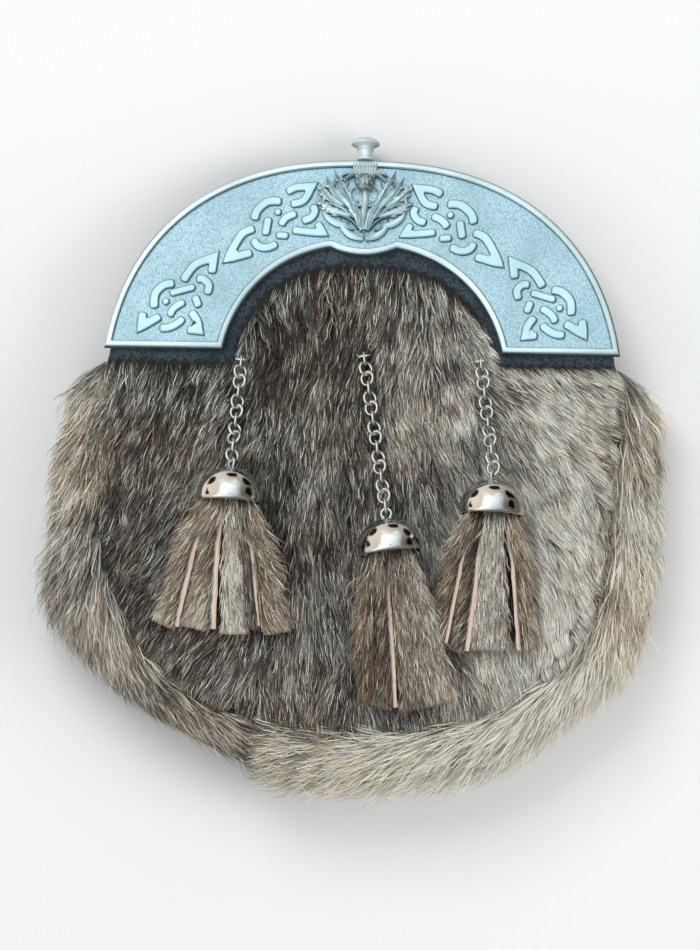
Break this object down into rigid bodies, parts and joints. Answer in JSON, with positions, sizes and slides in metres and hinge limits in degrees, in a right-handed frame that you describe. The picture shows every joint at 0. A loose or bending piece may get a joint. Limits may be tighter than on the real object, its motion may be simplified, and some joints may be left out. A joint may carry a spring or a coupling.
{
  "type": "sporran pouch",
  "caption": "Dress sporran lying on its back: hollow fur pouch under a cast silver arch with knotwork, a thistle badge, a knob and fur tassels on chains.",
  "frame": {"origin": "on the surface that the pouch lies on, under the middle of its outline", "axes": "+Y along its height towards the knob, +Z out of its front, +X to the right of the front"},
  "size_m": [0.199, 0.2136, 0.0603],
  "materials": {
    "silver": "cast, antiqued satin",
    "chrome": "polished",
    "black_leather": "grained satin",
    "hide": "raw suede",
    "front_fur": "short guard hair",
    "band_fur": "long guard hair",
    "tassel_fur": "hair on cut hide"
  },
  "bodies": {
    "root": {"back_panel": "black_leather", "gusset": "hide", "gusset_fur": "band_fur", "front_panel": "hide", "front_fur": "front_fur", "yoke": "black_leather", "cantle": "silver", "thistle_badge": "silver", "finial": "silver", "strap_loop_left": "black_leather", "strap_loop_right": "black_leather", "staple_left": "chrome", "chain_left": "chrome", "tassel_cap_left": "chrome", "tassel_left": "tassel_fur", "staple_middle": "chrome", "chain_middle": "chrome", "tassel_cap_middle": "chrome", "tassel_middle": "tassel_fur", "staple_right": "chrome", "chain_right": "chrome", "tassel_cap_right": "chrome", "tassel_right": "tassel_fur"}
  },
  "joints": []
}
